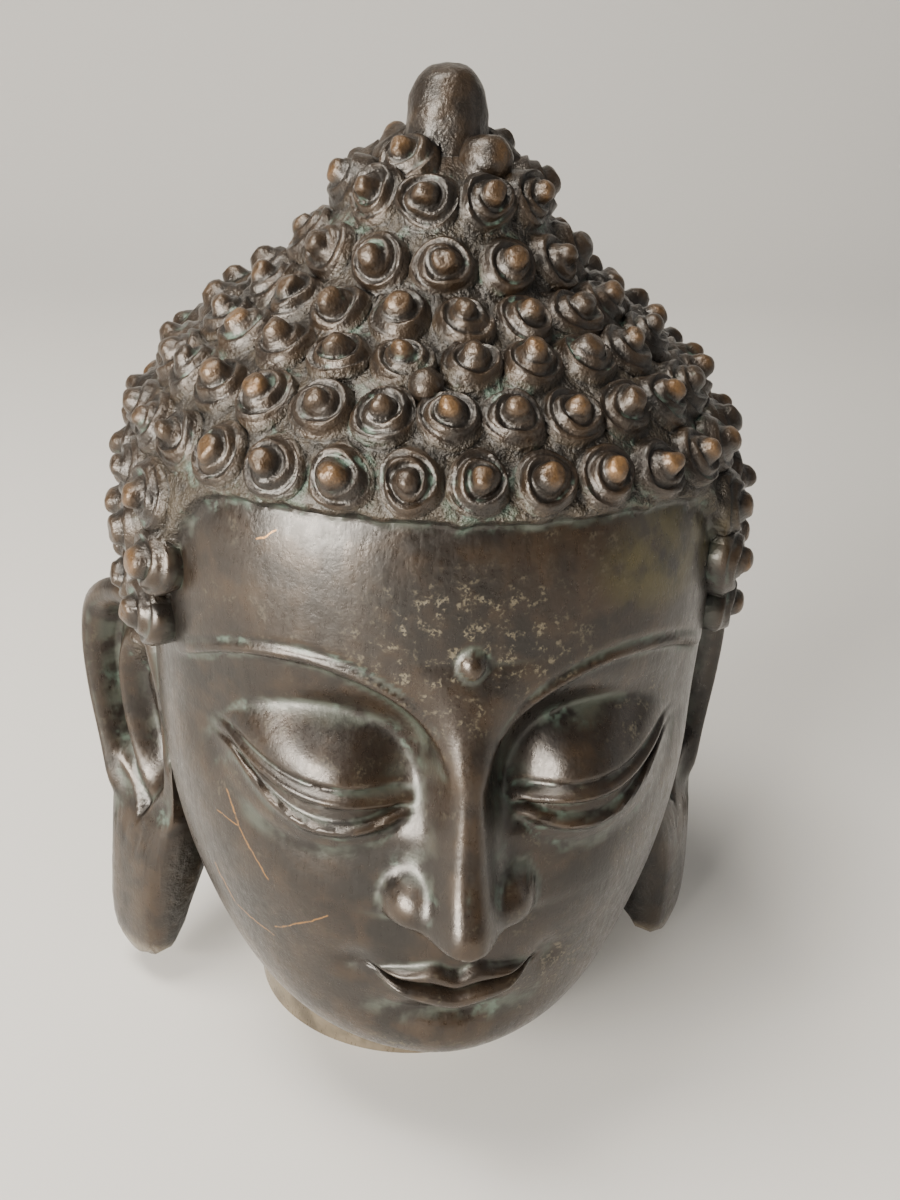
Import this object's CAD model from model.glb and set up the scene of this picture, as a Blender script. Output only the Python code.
# A small cast bronze buddha head on a pale floor. Shapes are worked out in millimetres and made in metres.
import math

import bmesh
import bpy
import numpy as np
from mathutils import Matrix, Vector


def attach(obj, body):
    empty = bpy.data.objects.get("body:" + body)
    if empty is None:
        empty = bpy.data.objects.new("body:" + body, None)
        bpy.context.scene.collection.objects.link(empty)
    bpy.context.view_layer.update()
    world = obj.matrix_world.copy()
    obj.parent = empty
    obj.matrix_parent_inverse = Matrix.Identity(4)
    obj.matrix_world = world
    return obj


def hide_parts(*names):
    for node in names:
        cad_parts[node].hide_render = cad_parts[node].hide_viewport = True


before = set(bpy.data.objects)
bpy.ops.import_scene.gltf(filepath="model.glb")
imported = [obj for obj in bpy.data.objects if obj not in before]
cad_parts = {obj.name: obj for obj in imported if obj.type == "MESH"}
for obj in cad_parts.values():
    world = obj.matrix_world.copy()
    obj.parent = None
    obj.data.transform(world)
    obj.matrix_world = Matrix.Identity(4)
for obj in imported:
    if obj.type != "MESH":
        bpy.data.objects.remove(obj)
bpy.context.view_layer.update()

MM = 0.001
NODE = "buddha_head"
SEED = 7

# Sizes shared with the solid part
HEIGHT = 150.0
FOOT_RADIUS = 25.0
CROWN_TOP = 139.6
HAIR_STEP = 1.8
FINIAL = dict(radius=5.8, base=135.5, wall=142.5)
EYE = dict(inner=8.4, outer=30.6, z=60.3, rise=3.9, open=2.7)
MOUTH = dict(half=12.2, z=33.6, upper=3.3, lower=4.3)
NOSE = dict(base=43.4, reach=10.2, half=5.3, wing=6.6)
URNA = dict(z=82.0, radius=1.8, height=1.5)
EAR = dict(top=73.0, middle=51.0, bottom=4.6, lobe=31.0, lobe_share=0.8, lobe_end=4.4, top_end=9.0, depth=3.4)
CURL = dict(radius=4.3, coil=1.5, rim=1.45, climb=2.0, groove=0.95, nub=1.6, tip=4.7, root=2.2)

# Level rings from foot to crown: radius and height in front, at the side and behind, then how much the
# cheeks and the back stand out between them.
RINGS = np.array([
    (FOOT_RADIUS, 0, FOOT_RADIUS, 0, FOOT_RADIUS, 0, 0, 0),
    (24.6, 7, 24.6, 9, 24.8, 9, 0, 0),
    (29.5, 11.5, 25.8, 16.5, 26.2, 17, 0, 0),
    (39, 13.8, 30.6, 22.5, 30.5, 25, -0.5, 0),
    (45, 19.5, 35.6, 31, 36, 35, -0.8, 0.4),
    (46.6, 31, 39, 41.5, 41, 46, 0.4, 0.8),
    (47.2, 45, 41, 54, 44.8, 58, 1.3, 1),
    (46.6, 62, 41.8, 67, 47, 70, 1.5, 1.2),
    (46.6, 77, 42.2, 79, 47.8, 82, 1.5, 1.4),
    (45.4, 90, 42, 91, 46.8, 93, 1.6, 1.4),
    (43.4, 99.5, 40.4, 99.5, 44.6, 100.5, 1.4, 1.2),
    (39.6, 106.6, 36, 107, 40.4, 107.5, 1, 1),
    (33.4, 112.6, 30, 112.4, 34, 112.8, 0.6, 0.6),
    (26, 116.8, 23.8, 116.6, 26.6, 117, 0.3, 0.3),
    (19.4, 121.6, 18.2, 121.6, 19.8, 121.8, 0.1, 0.1),
    (14.4, 128.6, 13.8, 128.6, 14.6, 128.6, 0, 0),
    (10.2, 134.8, 9.8, 134.8, 10.2, 134.8, 0, 0),
    (6, 138.6, 6, 138.6, 6, 138.6, 0, 0),
    (0, CROWN_TOP, 0, CROWN_TOP, 0, CROWN_TOP, 0, 0),
], dtype=float)
LAST_RING = len(RINGS) - 1

# Height of the hair's edge, by the angle in degrees from the front.
HAIRLINE = [
    (0, 100.3), (20, 100.5), (40, 99.8), (50, 97.6), (56, 91), (60, 83), (66, 76), (76, 71), (88, 64),
    (104, 50), (120, 34), (140, 24), (160, 20.5), (180, 20),
]

# Rows of curls from the hairline up: place between the rings in front, count, turn of the first curl as a
# share of the step, how far the row sags behind, and the first curl where a knob takes the place of others.
CURL_ROWS = [
    (10.72, 26, 0, 0.5, 0),
    (11.62, 24, 0.6, 0.45, 0),
    (12.55, 19, 0, 0.35, 0),
    (13.45, 15, 0, 0.25, 0),
    (14.45, 11, -0.25, 0.1, 0),
    (15.55, 9, 0.5, 0, 0),
    (16.6, 4, 0.4, 0, 1),
]
# Rows below the front hairline run round the back: place, first and last angle, and count.
SIDE_ROWS = [
    (9.45, 60, 296, 18), (8.62, 60, 299, 18), (7.9, 67, 295, 16), (7.15, 112, 248, 10),
    (6.4, 112, 248, 10), (5.6, 114, 246, 9), (4.85, 120, 240, 8), (4.1, 128, 232, 7),
]
CURL_CROWDING = 0.18
SIDE_CURL_SIZE = 1.2

# How far a curl's sizes vary by hand, as shares, and how far its nub leans and its axis tilts
CURL_VARIES = dict(coil=(0.9, 1.12), climb=(0.8, 1.15), groove=(0.75, 1.1), nub=(0.85, 1.2), tip=(0.84, 1.0))
CURL_LEAN = 0.11
CURL_TILT = 6
# Rings and columns of a curl's mesh where the front view shows it, and where it doesn't
CURL_MESH_SEEN = (16, 24)
CURL_MESH_UNSEEN = (8, 13)

# The hair's uneven surface: depth and wavelengths
HAIR_UNEVEN = 0.12
HAIR_WAVES = (2.2, 2.8, 3.1, 3.7, 4.6, 5.3, 6.1, 7.9)

# Plain round knobs: place, angle in degrees and radius. One stands for a curl beside the finial.
KNOBS = [(16.75, 36, 3.6), (12.15, -10, 2.3)]
KNOB_RISE = 0.25

# Spacing of the skin's mesh: upward along the front profile by height, and round it by angle.
ROW_STEPS = [
    (12, 1.8), (26, 1.2), (39, 0.44), (42, 0.8), (48, 0.5), (54, 0.95), (66, 0.42), (71, 0.85), (80, 0.6),
    (85, 0.55), (98, 1.4), (103, 0.6), (HEIGHT, 2.2),
]
COLUMN_STEPS = [(17, 0.62), (44, 0.8), (66, 1.5), (90, 3), (180, 6)]

# Heights between which the skin's rows bend to follow the lids and the lips, and the least space between rows
LID_ROWS = (52.0, 57.4, 60.0, 69.0)
LIP_ROWS = (23.5, 28.9, 33.6, 37.2, 40.5)
LEAST_GAP = 1.0


# Curves and bumps
def rise(x):
    x = np.clip(x, 0, 1)
    return x * x * (3 - 2 * x)


def bump(*offsets):
    return np.exp(-sum(offset * offset for offset in offsets))


def hermite(a, slope_a, b, slope_b, s):
    s2, s3 = s * s, s * s * s
    from_a = (2 * s3 - 3 * s2 + 1) * a + (s3 - 2 * s2 + s) * slope_a
    return from_a + (3 * s2 - 2 * s3) * b + (s3 - s2) * slope_b


def smooth(x, points):
    """A smooth curve through points, each (x, value)."""
    px, py = np.array(points, dtype=float).T
    before = np.maximum(np.arange(len(px)) - 1, 0)
    after = np.minimum(np.arange(len(px)) + 1, len(px) - 1)
    slopes = (py[after] - py[before]) / (px[after] - px[before])
    i = np.clip(np.searchsorted(px, x, side="left") - 1, 0, len(px) - 2)
    width = px[i + 1] - px[i]
    s = np.clip((x - px[i]) / width, 0, 1)
    return hermite(py[i], slopes[i] * width, py[i + 1], slopes[i + 1] * width, s)


# Head without its face
def ring_points(index, phi):
    ring = RINGS[np.clip(index, 0, LAST_RING)].T
    c2 = np.cos(phi) ** 2
    front = np.cos(phi) > 0
    fullness = np.where(front, ring[6], ring[7]) * np.sin(2 * phi) ** 2
    radius = ring[2] + (np.where(front, ring[0], ring[4]) - ring[2]) * c2 + fullness
    height = ring[3] + (np.where(front, ring[1], ring[5]) - ring[3]) * c2
    return np.stack([radius, height])


def plain_head(t, phi):
    i = np.clip(np.floor(t).astype(int), 0, LAST_RING - 1)
    before, start, end, after = (ring_points(i + step, phi) for step in (-1, 0, 1, 2))
    slope_a = np.where(i == 0, end - start, (end - before) / 2)
    radius, height = hermite(start, slope_a, end, (after - start) / 2, t - i)
    return np.stack([radius * np.sin(phi), -radius * np.cos(phi), height], axis=-1)


# Face: how far its surface stands forward of the plain head
def brow_line(ax):
    return smooth(ax, [(2.5, 66), (4.6, 71), (9, 75.6), (16, 79), (23, 79.9), (31, 78), (39, 72.5)])


def brow_and_socket(ax, z):
    brow = brow_line(ax)
    reach = rise((41 - ax) / 9) * rise((z - 56) / 9) * rise((ax - 0.6) / 5.4)
    edge = 0.85 * bump((z - brow - 0.3) / 0.85) * rise((40 - ax) / 6) * rise((ax - 2.5) / 3)
    line = 0.4 * bump((z - brow - 2.1) / 0.5) * rise((38 - ax) / 6) * rise((ax - 5) / 3)
    socket = 2.6 * bump((ax - 15.5) / 9.5, (z - 71) / 4.2) + 2.2 * bump((ax - 9) / 4, (z - 65) / 5)
    ball = 1 - ((ax - 19.4) / 13.6) ** 2 - ((z - 63) / 9.4) ** 2
    below_brow = 2.6 * rise((brow - z) / 2.6 + 0.5) * reach
    return edge - line - below_brow - socket + 4.6 * np.maximum(ball, 0) ** 1.1


def lid_lines(ax):
    along = (ax - EYE["inner"]) / (EYE["outer"] - EYE["inner"])
    c = np.clip(along, 0, 1)
    axis = EYE["z"] + EYE["rise"] * c ** 1.6
    upper = axis - 0.5 * np.sin(np.pi * c) + 0.42 * np.sin(2 * np.pi * c)
    return along, upper, upper - EYE["open"] * np.sin(np.pi * c ** 0.9)


def eyelids(ax, z):
    along, upper, lower = lid_lines(ax)
    ends = rise((along + 0.12) / 0.16) * rise((1.14 - along) / 0.2)
    inside = rise(along / 0.08) * rise((1 - along) / 0.08)
    slit = 1.15 * rise((z - lower) / 0.7 + 0.5) * rise((upper - z) / 0.6 + 0.5) * inside
    corners = 1.0 * bump((z - (upper + lower) / 2) / 0.6) * ends * (1 - inside)
    lids = 0.75 * bump((z - upper - 0.9) / 0.7) + 0.55 * bump((z - lower + 0.8) / 0.75)
    creases = 0.5 * bump((z - upper - 2.2) / 0.45) + 0.4 * bump((z - lower + 2.2) / 0.8)
    return (lids - creases) * ends - slit - corners


# The nose's reach and half width by height
NOSE_RIDGE = [
    (40, NOSE["reach"]), (44, NOSE["reach"]), (47.5, 9.6), (54, 7.7), (62, 5.6), (69, 3.9), (75, 1.7),
    (82, 0),
]
NOSE_HALF = [(40, 5.2), (46, NOSE["half"]), (50, 4.5), (58, 3.6), (68, 3.7), (75, 5.2), (82, 8)]


def nose(ax, z):
    body = smooth(z, NOSE_RIDGE) / (1 + (ax / smooth(z, NOSE_HALF)) ** 3.4)
    wing = 1 - ((ax - NOSE["wing"]) / 4.3) ** 2 - ((z - NOSE["base"] - 3.8) / 4.9) ** 2
    wing = 5.2 * np.maximum(wing, 0) ** 0.6
    whole = (body ** 4 + wing ** 4) ** 0.25 + 1.1 * bump(ax / 4.4, (z - NOSE["base"] - 4) / 3.6)
    above = rise((z - (NOSE["base"] - 1.2 + 0.14 * ax)) / 2.2)
    nostril = 0.9 * bump((ax - 4.2) / 1.5, (z - NOSE["base"] + 0.2) / 0.8)
    return whole * above + 1.4 * bump(ax / 11, (z - 41) / 5) * (1 - above) - nostril


def lip_lines(ax):
    q = np.clip(ax / MOUTH["half"], 0, 1)
    line = MOUTH["z"] + 1.5 * q ** 2.2 - 0.75 * bump(ax / 2.4)
    bow = 0.55 * bump((ax - 3.2) / 2.2) - 0.35 * bump(ax / 1.4)
    top = np.maximum(line + MOUTH["upper"] * (1 - q ** 1.7) + bow, line + 0.3)
    under = np.clip(ax / (MOUTH["half"] - 0.6), 0, 1)
    return line, top, line - np.maximum(MOUTH["lower"] * (1 - under ** 2.2), 0.3)


def mouth(ax, z):
    line, top, bottom = lip_lines(ax)
    taper = rise((1 - ax / MOUTH["half"]) / 0.4)
    up = np.clip((z - line) / (top - line), 0, 1)
    low = np.clip((line - z) / (line - bottom), 0, 1)
    edges = rise((top + 0.5 - z) / 1.0) * rise((z - bottom + 0.5) / 1.0)
    lip = np.where(z > line, 1.5 * np.sin(np.pi * up) ** 0.9, 2.1 * np.sin(np.pi * low) ** 0.8) + 0.25 * edges
    seam = 0.95 * bump((z - line) / 0.5) * rise((MOUTH["half"] + 0.8 - ax) / 3)
    corner = 1.1 * bump((ax - MOUTH["half"] - 1.4) / 2.2, (z - MOUTH["z"] - 1.6) / 2.4)
    return 1.8 * bump(ax / 13, (z - MOUTH["z"]) / 6.5) + lip * taper - seam - corner


def cheek_and_chin(ax, z):
    philtrum = 0.5 * bump(ax / 1.7) * rise((NOSE["base"] - 0.8 - z) / 1.5) * rise((z - 37) / 2)
    chin = 1.5 * bump(ax / 8, (z - 21) / 4.2) - 1.5 * bump(ax / 8.5, (z - 26.9) / 1.9)
    return 1.6 * bump((ax - 20) / 9.5, (z - 47) / 9.5) + chin - philtrum


def urna(ax, z):
    inside = 1 - (ax / URNA["radius"]) ** 2 - ((z - URNA["z"]) / URNA["radius"]) ** 2
    return URNA["height"] * np.sqrt(np.maximum(inside, 0))


def face_relief(x, z):
    ax = np.abs(x)
    features = (brow_and_socket, eyelids, nose, mouth, cheek_and_chin, urna)
    return sum(feature(ax, z) for feature in features)


def head(t, phi):
    """The head's skin with its face and the step at the hair's edge."""
    points = plain_head(t, phi)
    x, y, z = points.T
    facing = rise((-y - 4) / 16) * rise((z - 12) / 5)
    from_front = np.degrees(np.arccos(np.clip(np.cos(phi), -1, 1)))
    edge = smooth(from_front, HAIRLINE) + 0.25 * np.sin(31 * phi) + 0.2 * np.sin(53 * phi + 1)
    past_edge = rise((z - edge) / 1.2 + 0.5)
    lift = HAIR_STEP * past_edge * rise((CROWN_TOP - 1.1 - z) / 6)
    level = rise((z - 100) / 18)
    outward = lift * (1 - 0.3 * level)
    forward = face_relief(x, z) * facing + outward * np.cos(phi)
    return points + np.stack([outward * np.sin(phi), -forward, 0.8 * level * lift], -1)


# Meshes
def new_object(name, points_mm, faces):
    mesh = bpy.data.meshes.new(name)
    mesh.from_pydata((np.asarray(points_mm) * MM).tolist(), [], faces)
    mesh.update()
    made = bpy.data.objects.new(name, mesh)
    bpy.context.scene.collection.objects.link(made)
    return made


def capped(points, columns, start, end):
    """A closed skin of rings of points with a point at either end."""
    count = len(points)
    column = np.arange(columns)
    after = (column + 1) % columns
    first = np.arange(0, count - columns, columns)[:, None]
    quads = np.stack([first + column, first + after, first + columns + after, first + columns + column], -1)
    last = count - columns
    low = np.stack([np.full(columns, count), after, column], -1)
    high = np.stack([np.full(columns, count + 1), last + column, last + after], -1)
    faces = quads.reshape(-1, 4).tolist() + low.tolist() + high.tolist()
    return np.vstack([points, start, end]), faces


def remap(z, knots, moved):
    """Heights between the knots, moved with them."""
    result = z.copy()
    for i in range(len(knots) - 1):
        inside = (z >= knots[i]) & (z < knots[i + 1])
        share = (z - knots[i]) / (knots[i + 1] - knots[i])
        result = np.where(inside, moved[i] + (moved[i + 1] - moved[i]) * share, result)
    return result


def follow_features(ax, z):
    """Row heights bent to follow the lids and the lips."""
    upper, lower = lid_lines(ax)[1:]
    start, low, high, end = LID_ROWS
    z = remap(z, LID_ROWS, (start, np.minimum(lower, upper - LEAST_GAP), upper, end))
    line, top, bottom = lip_lines(ax)
    low, high = np.minimum(bottom, line - LEAST_GAP), np.maximum(top, line + LEAST_GAP)
    return remap(z, LIP_ROWS, (LIP_ROWS[0], low, line, high, LIP_ROWS[-1]))


def row_places():
    """Places between the rings, spaced along the front profile."""
    t = np.linspace(0, LAST_RING, 8000)
    front = plain_head(t, np.zeros_like(t))
    length = np.linalg.norm(np.diff(front, axis=0), axis=1)
    ends, steps = np.array(ROW_STEPS).T
    step = steps[np.searchsorted(ends, front[1:, 2])]
    rows = np.concatenate([[0], np.cumsum(length / step)])
    return np.interp(np.arange(int(rows[-1])), rows, t)


def column_angles():
    angles = [0.0]
    for end, step in COLUMN_STEPS:
        count = round((end - angles[-1]) / step)
        angles.extend(np.linspace(angles[-1], end, count + 1)[1:])
    half = np.array(angles)
    return np.radians(np.concatenate([half, -half[1:-1][::-1]]))


def head_mesh():
    rows, angles = row_places(), column_angles()
    t, phi = np.meshgrid(rows, angles, indexing="ij")
    plain = plain_head(t.ravel(), phi.ravel()).reshape(*t.shape, 3)
    bent = follow_features(np.abs(plain[..., 0]), plain[..., 2])
    known = np.linspace(0, LAST_RING, 2000)
    for column, angle in enumerate(angles):
        if math.cos(angle) > 0.5:
            heights = plain_head(known, np.full_like(known, angle))[:, 2]
            t[:, column] += np.interp(bent[:, column], heights, known)
            t[:, column] -= np.interp(plain[:, column, 2], heights, known)
    points = head(t.ravel(), phi.ravel())
    points, faces = capped(points, len(angles), (0, 0, 0), (0, 0, CROWN_TOP))
    return new_object("head", points, faces)


# Ears
EAR_RIM_X = [
    (EAR["bottom"], 49.2), (8.5, 50), (14, 50.2), (22, 49.7), (30, 49.4), (40, 50.4), (51, 52.2), (60, 53),
    (67, 52.4), (EAR["top"], 50.5),
]
EAR_RIM_Y = [(EAR["bottom"], 4), (12, 5), (22, 5.5), (34, 7), (50, 10), (64, 11), (EAR["top"], 9)]
EAR_ROOT_X = [(EAR["bottom"], 42), (12, 42.3), (22, 42), (34, 39.6), (50, 39.8), (64, 40), (EAR["top"], 41)]
EAR_ROOT_Y = [(EAR["bottom"], -5.5), (12, -5.5), (22, -6), (34, -7), (50, -8), (64, -7.5), (EAR["top"], -6)]
LOBE_SLANT = 0.25
EAR_BACK = [
    (EAR["bottom"], 7.5), (10, 8.8), (16, 9.6), (26, 11.5), (34, 11), (44, 8), (60, 5), (EAR["top"], 5),
]


def ear_height(level):
    share = np.minimum(-level / EAR["lobe_share"], 1)
    lobe = np.maximum(-level - EAR["lobe_share"], 0) / (1 - EAR["lobe_share"])
    drop = np.sin(lobe * np.pi / 2) * (EAR["lobe"] - EAR["bottom"])
    low = EAR["middle"] - share * (EAR["middle"] - EAR["lobe"]) - drop
    return np.where(level > 0, EAR["middle"] + level * (EAR["top"] - EAR["middle"]), low)


def ear_relief(across, inward, level, z):
    rho = np.hypot(inward, level)
    rim = 1.9 * bump((rho - 0.9) / 0.12) * rise((across + (z - EAR["middle"]) / 20 + 0.9) / 0.8)
    point = (z - EAR["lobe"]) / 12 - np.abs(across + 0.1)
    hollow = rise(np.minimum(0.8 - rho, point / 2) / 0.12)
    inner = np.hypot((inward + 0.2) / 0.62, (level + 0.03) / 0.6)
    ridge = 2.4 * bump((inner - 1) / 0.2) - 1.8 * rise((0.85 - inner) / 0.3)
    fold = 0.9 * bump((inner - 0.5) / 0.14) * rise((level + 0.1) / 0.3)
    slot = 1.7 * bump((across + 0.9) / 0.07) * rise((z - 44) / 3) * rise((55 - z) / 3)
    lobe = 2.2 * np.sqrt(np.maximum(1 - rho ** 12, 0)) * rise((EAR["lobe"] + 5 - z) / 8)
    return rim * rise((z - EAR["lobe"]) / 5) + hollow * (ridge + fold - EAR["depth"]) + lobe - slot


def ear_points(rho, psi, front):
    level, inward = rho * np.sin(psi), rho * np.cos(psi)
    z = ear_height(level)
    across = np.clip(inward / np.sqrt(np.maximum(1 - level * level, 1e-9)), -1, 1)
    near_bottom = (EAR["bottom"] + EAR["lobe_end"] - z) / EAR["lobe_end"]
    near_top = (z - EAR["top"] + EAR["top_end"]) / EAR["top_end"]
    end = np.clip(np.maximum(near_bottom, near_top), 0, 1)
    rim = np.stack([smooth(z, EAR_RIM_X), smooth(z, EAR_RIM_Y)], -1)
    root = np.stack([smooth(z, EAR_ROOT_X), smooth(z, EAR_ROOT_Y)], -1)
    chord = rim - root
    outward = np.stack([chord[:, 1], -chord[:, 0]], -1)
    outward /= np.linalg.norm(outward, axis=1)[:, None]
    behind = smooth(z, EAR_BACK) * np.sqrt(np.maximum(1 - rho ** 6, 0))
    depth = np.where(front, ear_relief(across, inward, level, z), -behind)
    place = root + chord * (0.5 + 0.5 * across * np.sqrt(1 - end * end))[:, None] + outward * depth[:, None]
    inner_face = LOBE_SLANT * behind * (1 - across) * rise((EAR["lobe"] + 6 - z) / 12)
    place[:, 0] -= np.where(front, 0, inner_face)
    return np.column_stack([place, z])


def ear_mesh(side):
    columns = 72
    front = np.concatenate([np.linspace(0.06, 0.84, 27), 1 - 0.16 * np.cos(np.linspace(0.2, np.pi / 2, 9))])
    back = 1 - 0.55 * (1 - np.cos(np.linspace(0.2, np.pi / 2, 7)))
    rings = len(front) + len(back)
    rho = np.repeat(np.concatenate([front, back]), columns)
    is_front = np.repeat(np.arange(rings) < len(front), columns)
    turn = np.tile(2 * np.pi * (np.arange(columns) + 0.5) / columns, rings)
    points = ear_points(rho, turn + 0.25 * np.sin(2 * turn), is_front)
    ends = [ear_points(np.zeros(1), np.zeros(1), np.array([flag]))[0] for flag in (True, False)]
    points, faces = capped(points, columns, *ends)
    if side < 0:
        points = points * (-1, 1, 1)
    else:
        faces = [face[::-1] for face in faces]
    return new_object("ear", points, faces)


# Finial and knobs
def finial_mesh():
    columns = 40
    wall = FINIAL["radius"] * 0.97
    turn = np.linspace(0, np.pi / 2, 12)[:-1]
    radius = np.concatenate([[FINIAL["radius"]] * 2, wall * np.cos(turn) ** 0.66])
    dome = FINIAL["wall"] + (HEIGHT - FINIAL["wall"]) * np.sin(turn)
    height = np.concatenate([[FINIAL["base"], 139.0], dome])
    around = 2 * np.pi * np.arange(columns) / columns
    x, y = np.outer(radius, np.sin(around)), np.outer(-radius, np.cos(around))
    points = np.stack([x, y, np.outer(height, np.ones(columns))], -1).reshape(-1, 3)
    points, faces = capped(points, columns, (0, 0, FINIAL["base"]), (0, 0, HEIGHT))
    return new_object("finial", points, faces)


def knob_solid(at, angle, radius, rng):
    rings, columns = 13, 24
    phi = math.radians(angle)
    centre = head(np.array([at]), np.array([phi]))[0]
    outward = np.array([math.sin(phi), -math.cos(phi), 0.5])
    outward /= np.linalg.norm(outward)
    centre = centre + outward * radius * KNOB_RISE
    down = np.repeat(np.linspace(-80, 80, rings) * np.pi / 180, columns)
    around = np.tile(2 * np.pi * np.arange(columns) / columns, rings)
    uneven = radius * (1 + 0.05 * np.sin(2 * around + rng.uniform(0, 6)) * np.cos(down))
    level = uneven * np.cos(down)
    ball = np.stack([level * np.sin(around), -level * np.cos(around), uneven * np.sin(down)], -1)
    points, faces = capped(ball, columns, (0, 0, -radius), (0, 0, radius))
    return dict(points=points + centre, faces=faces, centre=centre, reach=radius,
                axis=outward, size=1, wear=0.2)


# Curls
def curl_height(r, turn, shape):
    """Height of a low snail shell: a rounded coil wound in to a tall nub, with a groove between its turns."""
    inward = 1 - r / CURL["radius"]
    wound = (CURL["radius"] - r) / shape["coil"] + turn / (2 * np.pi)
    shell = CURL["rim"] + shape["climb"] * inward - shape["groove"] * np.abs(np.cos(np.pi * wound)) ** 3
    edge = np.clip((CURL["radius"] - r) / 1.2, 0, 1)
    shell = 0.15 + shell * np.sqrt(edge * (2 - edge))
    nub = np.maximum(1 - (r / shape["nub"]) ** 2, 0)
    foot = CURL["rim"] + shape["climb"] * 0.7
    return np.where(nub > 0, np.maximum(foot + (shape["tip"] - foot) * nub ** 0.42, shell), shell)


def curl_solid(t, phi, size, rng):
    seen = math.cos(phi) > -0.15 and t > 7
    rings, columns = CURL_MESH_SEEN if seen else CURL_MESH_UNSEEN
    shape = {name: CURL[name] * rng.uniform(*span) for name, span in CURL_VARIES.items()}
    radius = CURL["radius"]
    r = np.concatenate([[radius * 0.9, radius], radius - 0.28 - (radius - 0.6) * np.linspace(0, 1, rings)])
    r_all = np.repeat(r, columns)
    turn = np.tile(2 * np.pi * np.arange(columns) / columns, len(r))
    height = curl_height(r_all, turn, shape)
    height[:columns] = -CURL["root"]
    starts = rng.uniform(0, 2 * np.pi, 3)
    wobble = 1 + 0.05 * np.sin(2 * turn + starts[0]) + 0.035 * np.sin(3 * turn + starts[1] + r_all)
    height[columns:] += (0.07 * r_all * np.sin(2 * turn + starts[2] + 1.5 * r_all))[columns:]
    lean = rng.uniform(-CURL_LEAN, CURL_LEAN, 2)
    x = r_all * wobble * np.sin(turn) + lean[0] * height
    y = -r_all * wobble * np.cos(turn) + lean[1] * height
    points = np.column_stack([x * size, y * size, height])
    ends = (0, 0, -CURL["root"]), (lean[0] * shape["tip"] * size, lean[1] * shape["tip"] * size, shape["tip"])
    points, faces = capped(points, columns, *ends)
    spin = Matrix.Rotation(rng.uniform(0, 2 * math.pi), 4, "Z")
    tilt = Matrix.Rotation(math.radians(rng.uniform(-CURL_TILT, CURL_TILT)), 4, "X")
    place = np.array(hair_frame(t, phi) @ tilt @ spin)
    points = points @ place[:3, :3].T + place[:3, 3]
    wear = rng.uniform(0.25, 1) ** 2 * (0.5 if t > 12 or abs(phi) > 1 else 1)
    return dict(points=points, faces=faces, centre=place[:3, 3], reach=radius * size * 1.15,
                axis=place[:3, 2], size=size, wear=wear)


def curl_places():
    places = []
    for at, count, shift, sag, first in CURL_ROWS:
        for i in range(first, count):
            turn = 2 * math.pi * (i + shift) / count
            phi = turn - CURL_CROWDING * math.sin(turn)
            behind = math.sin(phi / 2) ** 2
            places.append((at - 2 * sag * behind, phi, 1 + 0.25 * behind))
    for at, start, end, count in SIDE_ROWS:
        for i in range(count):
            places.append((at, math.radians(start + (end - start) * i / (count - 1)), SIDE_CURL_SIZE))
    return places


def hair_frame(t, phi):
    """A matrix that sets a curl's axis square to the hair at a place on the head."""
    step = 0.15
    ends = plain_head(np.array([t + step, t - step, t, t]), np.array([phi, phi, phi + step, phi - step]))
    outward = Vector(ends[2] - ends[3]).cross(Vector(ends[0] - ends[1])).normalized()
    place = Vector(head(np.array([t]), np.array([phi]))[0])
    return Matrix.Translation(place) @ outward.to_track_quat("Z", "Y").to_matrix().to_4x4()


def spread(solids):
    """Groups of solids in which none touches another."""
    groups = []
    for one in solids:
        for group in groups:
            gaps = [np.linalg.norm(one["centre"] - other["centre"]) - other["reach"] for other in group]
            if min(gaps) > one["reach"]:
                group.append(one)
                break
        else:
            groups.append([one])
    return groups


def group_mesh(group):
    points, faces, count = [], [], 0
    for one in group:
        points.append(one["points"])
        faces.extend([tuple(corner + count for corner in face) for face in one["faces"]])
        count += len(one["points"])
    return new_object("curls", np.vstack(points), faces)


# Joining and finishing the skin
def join_solids(body, others):
    for other in others:
        modifier = body.modifiers.new("join", "BOOLEAN")
        modifier.operation = "UNION"
        modifier.solver = "MANIFOLD"
        modifier.object = other
    depsgraph = bpy.context.evaluated_depsgraph_get()
    body.data = bpy.data.meshes.new_from_object(body.evaluated_get(depsgraph))
    body.modifiers.clear()
    for other in others:
        bpy.data.objects.remove(other)


def drop_crumbs(mesh):
    """Removes the small loose shells that joins can leave."""
    built = bmesh.new()
    built.from_mesh(mesh)
    left = set(built.verts)
    while left:
        shell, edge = set(), {left.pop()}
        while edge:
            shell |= edge
            edge = {link.other_vert(vert) for vert in edge for link in vert.link_edges} - shell
        left -= shell
        if len(shell) < len(built.verts) / 2:
            bmesh.ops.delete(built, geom=list(shell), context="VERTS")
    built.to_mesh(mesh)
    built.free()


def read_mesh(mesh):
    """Points in millimetres, normals, and a function that averages values over each point's neighbours."""
    count = len(mesh.vertices)
    points, normals = np.empty(count * 3), np.empty(count * 3)
    mesh.vertices.foreach_get("co", points)
    mesh.vertex_normals.foreach_get("vector", normals)
    ends = np.empty(len(mesh.edges) * 2, dtype=np.int64)
    mesh.edges.foreach_get("vertices", ends)
    a, b = ends.reshape(-1, 2).T
    degree = np.bincount(a, minlength=count) + np.bincount(b, minlength=count)

    def average(values):
        sums = [np.bincount(a, column[b], count) + np.bincount(b, column[a], count) for column in values.T]
        return (np.array(sums) / degree).T

    return points.reshape(-1, 3) / MM, normals.reshape(-1, 3), average


def hollowness(points, normals, average, passes):
    """How far a point lies below the smoothed surface, in millimetres."""
    soft = points
    for _ in range(passes):
        soft = 0.5 * soft + 0.5 * average(soft)
    return ((soft - points) * normals).sum(axis=1)


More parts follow.
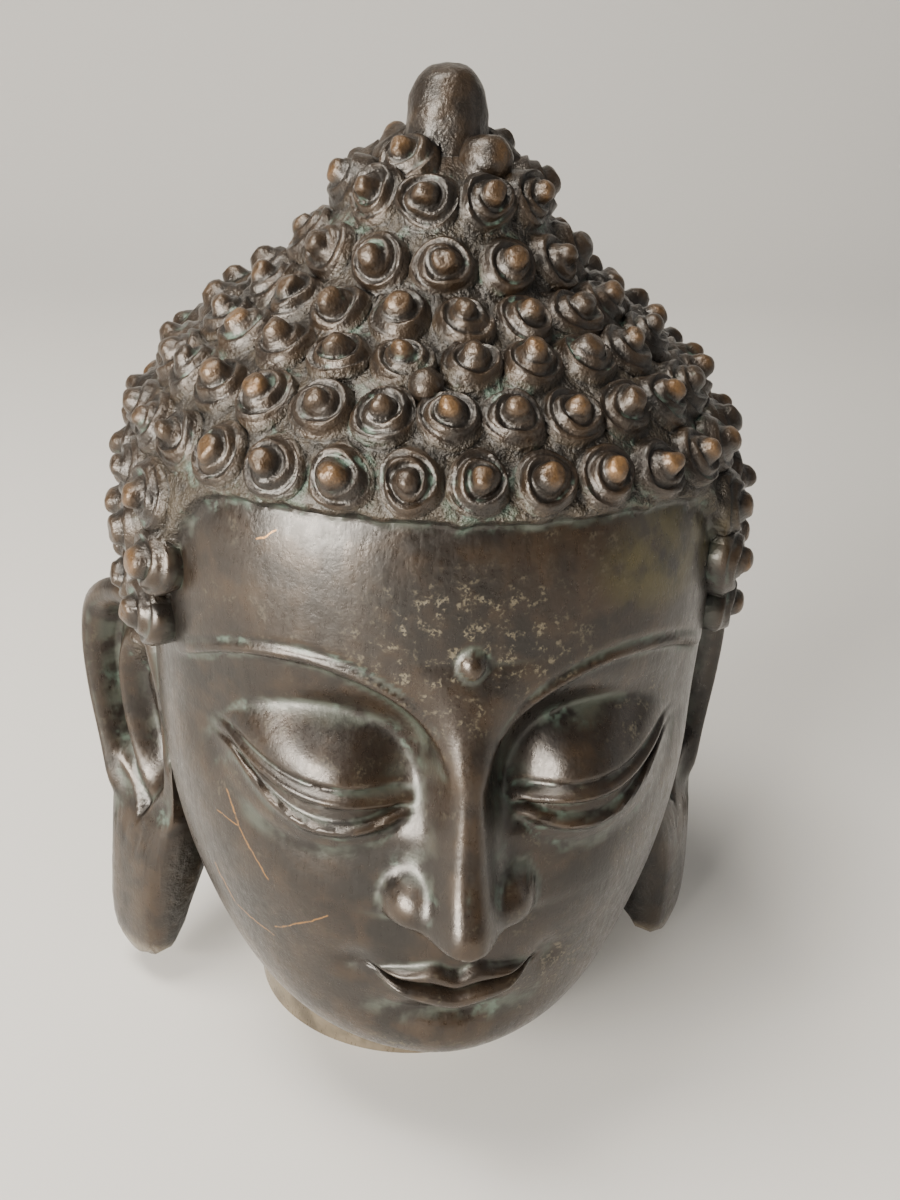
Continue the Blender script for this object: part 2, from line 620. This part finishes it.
def waves(points, lengths, rng):
    """A steady uneven field about 0, from waves of the given lengths in all directions."""
    total = np.zeros(len(points))
    for length in lengths:
        direction = rng.normal(size=3)
        direction *= 2 * np.pi / length / np.linalg.norm(direction)
        total += np.sin(points @ direction + rng.uniform(0, 2 * np.pi))
    return total / math.sqrt(len(lengths))


def hair_share(points):
    x, y, z = points.T
    from_front = np.degrees(np.arctan2(np.abs(x), -y))
    on_ear = rise((np.abs(x) - 45.5) / 1.5) * rise((75 - z) / 3)
    return rise((z - smooth(from_front, HAIRLINE)) / 1.5 + 0.5) * (1 - on_ear)


def soften_creases(mesh, rng):
    """Fills the sharp seams between joined solids a little and makes the hair uneven, as a hand would."""
    points, normals, average = read_mesh(mesh)
    hair = hair_share(points)
    for _ in range(4):
        moved = average(points)
        seam = rise(((moved - points) * normals).sum(axis=1) / 0.12)
        points = points + (moved - points) * (0.7 * seam * hair)[:, None]
    uneven = waves(points, HAIR_WAVES, rng)
    points = points + normals * (HAIR_UNEVEN * uneven * hair)[:, None]
    mesh.vertices.foreach_set("co", (points * MM).ravel())
    mesh.update()


def over_hair(points, solids):
    """For each point its distance from the nearest curl's axis, its height there and that curl's wear."""
    centres, axes = (np.array([one[name] for one in solids]) for name in ("centre", "axis"))
    sizes, wear = (np.array([one[name] for one in solids]) for name in ("size", "wear"))
    nearest = ((centres ** 2).sum(axis=1) - 2 * points @ centres.T).argmin(axis=1)
    offset = points - centres[nearest]
    height = (offset * axes[nearest]).sum(axis=1)
    away = np.sqrt(np.maximum((offset ** 2).sum(axis=1) - height ** 2, 0)) / sizes[nearest]
    return away, height, wear[nearest]


def mark_wear(mesh, solids):
    """Stores where the surface is hair, scalp, a worn nub, a groove, a ridge or rough casting."""
    points, normals, average = read_mesh(mesh)
    fine = hollowness(points, normals, average, 3)
    broad = hollowness(points, normals, average, 24)
    x, _, z = points.T
    ear = rise((np.abs(x) - 40.5) / 1.5) * rise((70 - z) / 4) * rise((z - 30) / 3)
    inner_face = rise(-np.sign(x) * normals[:, 0] / 0.4 - 0.2) * rise((np.abs(x) - 36) / 1.5)
    away, height, wear = over_hair(points, solids)
    values = dict(
        hair=hair_share(points),
        scalp=rise((1.1 - height) / 1.3) * rise((HEIGHT - 12 - z) / 3),
        nub=wear * rise((2.1 - away) / 0.9) * rise((height - 2.6) / 1.2),
        groove=np.maximum(rise(fine / 0.06), 0.9 * rise(broad / 0.5) * ear),
        ridge=rise(-fine / 0.06),
        casting=inner_face * rise((32 - z) / 4),
    )
    for name, value in values.items():
        attribute = mesh.attributes.new(name, "FLOAT", "POINT")
        attribute.data.foreach_set("value", value.astype(np.float32))


def build_head():
    rng = np.random.default_rng(SEED)
    body = head_mesh()
    solids = [curl_solid(*place, rng) for place in curl_places()]
    solids += [knob_solid(*knob, rng) for knob in KNOBS]
    join_solids(body, [ear_mesh(1), ear_mesh(-1), finial_mesh(), *map(group_mesh, spread(solids))])
    body.name = "head_cast"
    drop_crumbs(body.data)
    soften_creases(body.data, rng)
    mark_wear(body.data, solids)
    body.data.polygons.foreach_set("use_smooth", [True] * len(body.data.polygons))
    body.data.set_sharp_from_angle(angle=math.radians(60))
    return body


# Material: colours are linear
PATINA_DARK = (0.009, 0.007, 0.0055)
PATINA_BROWN = (0.023, 0.0155, 0.0105)
PATINA_WARM = (0.043, 0.027, 0.015)
DUST = (0.030, 0.022, 0.012)
VERDIGRIS = (0.12, 0.19, 0.15)
LICHEN = (0.05, 0.062, 0.048)
OLIVE = (0.08, 0.068, 0.02)
SPECKLE = (0.13, 0.11, 0.07)
BRASS = (0.31, 0.165, 0.06)
RUBBED = (0.17, 0.14, 0.10)

# Sizes of the metal's uneven colour from broad to grain, and the depth of its fine relief, in millimetres
NOISE_SIZES = (16, 5, 1.6, 0.45)
RELIEF_DEPTH = 0.12

# Stained and speckled areas in front: centre across and up, half sizes, in millimetres
SPECKLED = [(0, 84, 14, 9), (26, 70, 6, 4), (16, 30, 8, 6), (-3, 17, 12, 4), (30, 52, 6, 8)]
STAINED = [(28, 93, 9, 6)]
# Fine scratches on the left cheek, each from and to a place across and up
SCRATCHES = [
    ((-31, 57), (-29.5, 52)), ((-29.5, 52), (-25.5, 45.5)), ((-32.5, 52.5), (-29.5, 52)),
    ((-24.5, 36.5), (-17.5, 43)), ((-33, 41.5), (-30, 36)), ((-30, 36), (-24.5, 34.5)),
    ((-27, 95), (-24.5, 97)),
]


class Shades:
    """Adds nodes to a material. Values are plain, or the sockets that feed them."""

    def __init__(self, material):
        material.use_nodes = True
        self.tree = material.node_tree
        self.shader = self.tree.nodes["Principled BSDF"]
        place = self.add("ShaderNodeTexCoord").outputs["Object"]
        scaled = self.add("ShaderNodeVectorMath", {0: place, "Scale": 1 / MM}, operation="SCALE")
        self.place = scaled.outputs[0]
        self.x, self.y, self.z = self.add("ShaderNodeSeparateXYZ", {0: self.place}).outputs

    def add(self, kind, inputs=None, **settings):
        node = self.tree.nodes.new(kind)
        for name, value in settings.items():
            setattr(node, name, value)
        for name, value in (inputs or {}).items():
            self.feed(node.inputs[name], value)
        return node

    def feed(self, socket, value):
        if isinstance(value, bpy.types.NodeSocket):
            self.tree.links.new(value, socket)
        elif isinstance(value, tuple) and len(value) == 3 and socket.type == "RGBA":
            socket.default_value = (*value, 1)
        else:
            socket.default_value = value

    def math(self, operation, a, b=0.0):
        return self.add("ShaderNodeMath", {0: a, 1: b}, operation=operation).outputs[0]

    def sum(self, *values):
        total = values[0]
        for value in values[1:]:
            total = self.math("ADD", total, value)
        return total

    def times(self, *values):
        product = values[0]
        for value in values[1:]:
            product = self.math("MULTIPLY", product, value)
        return product

    def most(self, *values):
        largest = values[0]
        for value in values[1:]:
            largest = self.math("MAXIMUM", largest, value)
        return largest

    def attribute(self, name):
        return self.add("ShaderNodeAttribute", attribute_name=name).outputs["Fac"]

    def ramp(self, value, low, high, start=0.0, end=1.0):
        inputs = {"Value": value, "From Min": low, "From Max": high, "To Min": start, "To Max": end}
        return self.add("ShaderNodeMapRange", inputs, interpolation_type="SMOOTHSTEP").outputs[0]

    def noise(self, size, detail=3.0, rough=0.55, stretch=(1, 1, 1)):
        place = self.add("ShaderNodeVectorMath", {0: self.place, 1: stretch}, operation="MULTIPLY").outputs[0]
        inputs = {"Vector": place, "Scale": 1 / size, "Detail": detail, "Roughness": rough}
        return self.add("ShaderNodeTexNoise", inputs).outputs["Fac"]

    def blend(self, share, a, b):
        node = self.add("ShaderNodeMix", data_type="RGBA")
        self.feed(node.inputs[0], share)
        self.feed(node.inputs[6], a)
        self.feed(node.inputs[7], b)
        return node.outputs[2]

    def patch(self, across, up, half_width, half_height):
        """A soft oval on the front of the head."""
        u = self.math("DIVIDE", self.math("SUBTRACT", self.x, across), half_width)
        v = self.math("DIVIDE", self.math("SUBTRACT", self.z, up), half_height)
        size = self.sum(self.times(u, u), self.times(v, v))
        return self.times(self.ramp(size, 2.2, 0.2), self.ramp(self.y, -15, -30))

    def scratch(self, start, end, waver):
        """A hair-fine line on the front of the head."""
        (x0, z0), (x1, z1) = start, end
        length = math.hypot(x1 - x0, z1 - z0)
        along_x, along_z = (x1 - x0) / length, (z1 - z0) / length
        u, v = self.math("SUBTRACT", self.x, x0), self.math("SUBTRACT", self.z, z0)
        along = self.sum(self.times(u, along_x), self.times(v, along_z))
        off = self.math("ABSOLUTE", self.sum(self.times(u, -along_z), self.times(v, along_x), waver))
        inside = self.times(self.ramp(along, -0.1, 0.3), self.ramp(along, length + 0.1, length - 0.3))
        return self.times(self.ramp(off, 0.15, 0.05), inside)


def bronze_material():
    material = bpy.data.materials.new("dark_bronze")
    shades = Shades(material)
    ramp, times, most, total, blend = shades.ramp, shades.times, shades.most, shades.sum, shades.blend
    names = ("hair", "scalp", "nub", "groove", "ridge", "casting")
    hair, scalp, nub, groove, ridge, casting = (shades.attribute(name) for name in names)
    broad, middling, fine, grain = (shades.noise(size) for size in NOISE_SIZES)
    brushed = shades.noise(0.5, 2.0, 0.6, (1, 1, 0.06))
    skin = shades.math("SUBTRACT", 1.0, hair)

    # Brown patina, uneven at several scales and rubbed a little lighter along the edges
    colour = blend(ramp(broad, 0.35, 0.65), PATINA_DARK, PATINA_BROWN)
    colour = blend(times(ramp(middling, 0.45, 0.7), 0.5), colour, PATINA_WARM)
    colour = blend(times(ramp(fine, 0.4, 0.7), 0.4), colour, PATINA_DARK)
    colour = blend(times(ridge, ramp(middling, 0.35, 0.6), 0.5), colour, PATINA_WARM)

    # Stains and speckles in front
    stain = times(most(*(shades.patch(*place) for place in STAINED)), ramp(middling, 0.3, 0.6), 0.6)
    colour = blend(stain, colour, OLIVE)
    spots = times(ramp(fine, 0.5, 0.66), ramp(grain, 0.42, 0.6), skin)
    speckled = times(most(*(shades.patch(*place) for place in SPECKLED)), spots, 0.65)
    scattered = times(ramp(broad, 0.5, 0.62), spots, 0.25)
    speckles = most(speckled, scattered)
    colour = blend(speckles, colour, SPECKLE)

    # Dust and verdigris between the curls and in the carved lines
    low = times(hair, scalp)
    dusty = times(low, ramp(middling, 0.25, 0.6, 0.35, 0.9))
    colour = blend(dusty, colour, DUST)
    colour = blend(times(groove, ramp(fine, 0.25, 0.5), 0.8), colour, PATINA_DARK)
    lines = times(groove, skin, ramp(middling, 0.42, 0.6), 0.6)
    colour = blend(lines, colour, LICHEN)
    patches = times(ramp(shades.noise(6), 0.55, 0.64), ramp(fine, 0.42, 0.58))
    green = times(most(times(low, 0.35), times(groove, hair, 0.7), times(groove, 0.4)), patches, 0.8)
    colour = blend(green, colour, VERDIGRIS)
    crust = times(casting, ramp(fine, 0.2, 0.5, 0.5, 1.0))
    colour = blend(crust, colour, PATINA_DARK)

    # Brass shows on worn nubs, in thin scratches and round the foot
    worn = times(nub, hair, ramp(fine, 0.3, 0.6, 0.4, 1.0))
    waver = times(shades.math("SUBTRACT", shades.noise(2.5), 0.5), 0.8)
    scratches = times(most(*(shades.scratch(*line, waver) for line in SCRATCHES)), ramp(shades.y, -15, -20))
    scratches = times(scratches, ramp(fine, 0.35, 0.55, 0.25, 1.0))
    bare = most(times(worn, 0.65), scratches)
    colour = blend(bare, colour, BRASS)
    foot = times(ramp(shades.z, 9.0, 6.5), ramp(middling, 0.3, 0.6, 0.4, 0.9))
    scuffs = ramp(shades.noise(0.8, 3.0, 0.6, (0.5, 0.5, 2.5)), 0.5, 0.62)
    colour = blend(foot, colour, RUBBED)
    colour = blend(times(foot, scuffs, 0.6), colour, SPECKLE)

    matt = most(dusty, green, crust, times(speckles, 0.8), lines)
    roughness = total(
        ramp(brushed, 0.3, 0.7, 0.26, 0.36), ramp(fine, 0.3, 0.7, -0.03, 0.07),
        times(matt, 0.2), times(hair, 0.03),
    )
    metallic = most(shades.math("SUBTRACT", 0.4, times(matt, 0.4)), times(bare, 0.95))
    height = total(
        times(grain, 0.3), times(fine, 0.5), times(brushed, 0.1), times(middling, 0.8), times(speckles, -0.3),
        times(hair, fine, 1.6), times(hair, grain, 0.8), times(low, fine, 7.0), times(low, grain, 2.5),
        times(casting, fine, 5.0),
    )
    relief = shades.add("ShaderNodeBump", {"Height": height, "Strength": 1.0, "Distance": RELIEF_DEPTH * MM})

    shader = shades.shader
    shades.feed(shader.inputs["Base Color"], colour)
    shades.feed(shader.inputs["Metallic"], metallic)
    shades.feed(shader.inputs["Roughness"], roughness)
    shades.feed(shader.inputs["Normal"], relief.outputs["Normal"])
    shader.inputs["Specular IOR Level"].default_value = 0.65
    shader.inputs["Coat Weight"].default_value = 0.2
    shader.inputs["Coat Roughness"].default_value = 0.26
    return material


# Camera, light and floor
PHOTO = dict(width=900, height=1200, focal=1500.0)
CAMERA = dict(azimuth=-8.3, elevation=23.6, distance=235.2, roll=2.9)
AIM = (0.0, 0.0, 75.0)
AIM_PIXEL = (424.7, 568.9)
SENSOR = 36.0

# Lights: place and size in metres, power in watts
LAMP_COLOUR = (1.0, 0.93, 0.82)
FILL_COLOUR = (1.0, 0.95, 0.88)
LIGHTS = [
    ("window", (-0.74, -0.68, 0.33), (0.62, 0.48), 39, LAMP_COLOUR),
    ("overhead", (-0.25, -0.05, 0.75), (0.3, 0.3), 7, LAMP_COLOUR),
    ("side", (0.75, -0.2, 0.3), (0.3, 0.6), 0.5, FILL_COLOUR),
]
SKY = dict(place=(-0.5, -0.55, 0.75), power=0.4, angle=50)
ROOM = dict(colour=(1.0, 0.98, 0.94, 1), strength=0.17)

# Backdrop: floor half width, how far behind the head it starts to curve up, and the curve's radius, in metres
BACKDROP = dict(half=3.0, bend=0.5, radius=0.6, colour=(0.62, 0.615, 0.605, 1))


def add_camera():
    azimuth, elevation = math.radians(CAMERA["azimuth"]), math.radians(CAMERA["elevation"])
    level = math.cos(elevation)
    back = Vector((math.sin(azimuth) * level, -math.cos(azimuth) * level, math.sin(elevation)))
    data = bpy.data.cameras.new("camera")
    data.sensor_width = SENSOR
    data.lens = SENSOR * PHOTO["focal"] / PHOTO["height"]
    data.clip_start = 0.01
    camera = bpy.data.objects.new("camera", data)
    across, up = AIM_PIXEL[0] - PHOTO["width"] / 2, PHOTO["height"] / 2 - AIM_PIXEL[1]
    seen = Vector((across, up, -PHOTO["focal"])).normalized()
    roll = Matrix.Rotation(math.radians(CAMERA["roll"]), 3, "Z").to_quaternion()
    aside = seen.rotation_difference(Vector((0, 0, -1)))
    camera.rotation_mode = "QUATERNION"
    camera.rotation_quaternion = back.to_track_quat("Z", "Y") @ roll @ aside
    camera.location = (Vector(AIM) + back * CAMERA["distance"]) * MM
    bpy.context.scene.collection.objects.link(camera)
    bpy.context.scene.camera = camera


def add_area_light(name, location, size, power, colour):
    data = bpy.data.lights.new(name, "AREA")
    data.shape = "RECTANGLE"
    data.size, data.size_y = size
    data.energy = power
    data.color = colour
    light = bpy.data.objects.new(name, data)
    light.location = location
    light.rotation_mode = "QUATERNION"
    light.rotation_quaternion = (Vector(location) - Vector((0, 0, 0.08))).to_track_quat("Z", "Y")
    bpy.context.scene.collection.objects.link(light)


def add_backdrop():
    """A pale floor that curves up behind the head."""
    half, start, radius = BACKDROP["half"], BACKDROP["bend"], BACKDROP["radius"]
    turns = np.linspace(0, math.pi / 2, 17)
    bend = [(start + radius * math.sin(turn), radius - radius * math.cos(turn)) for turn in turns]
    profile = [(-half, 0.0), *bend, (start + radius, half)]
    points = [(x / MM, y / MM, z / MM) for y, z in profile for x in (-half, half)]
    faces = [(2 * i, 2 * i + 1, 2 * i + 3, 2 * i + 2) for i in range(len(profile) - 1)]
    floor = new_object("floor", points, faces)
    floor.data.polygons.foreach_set("use_smooth", [True] * len(faces))
    material = bpy.data.materials.new("paper")
    material.use_nodes = True
    shader = material.node_tree.nodes["Principled BSDF"]
    shader.inputs["Base Color"].default_value = BACKDROP["colour"]
    shader.inputs["Roughness"].default_value = 0.9
    floor.data.materials.append(material)


def add_lights():
    world = bpy.data.worlds.new("studio")
    bpy.context.scene.world = world
    world.use_nodes = True
    background = world.node_tree.nodes["Background"]
    background.inputs["Color"].default_value = ROOM["colour"]
    background.inputs["Strength"].default_value = ROOM["strength"]
    for light in LIGHTS:
        add_area_light(*light)
    sun = bpy.data.lights.new("sky", "SUN")
    sun.energy = SKY["power"]
    sun.angle = math.radians(SKY["angle"])
    sky = bpy.data.objects.new("sky", sun)
    sky.rotation_mode = "QUATERNION"
    sky.rotation_quaternion = Vector(SKY["place"]).to_track_quat("Z", "Y")
    bpy.context.scene.collection.objects.link(sky)


add_camera()
add_lights()
add_backdrop()
head_cast = build_head()
head_cast.data.materials.clear()
head_cast.data.materials.append(bronze_material())
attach(head_cast, "root")
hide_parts(NODE)
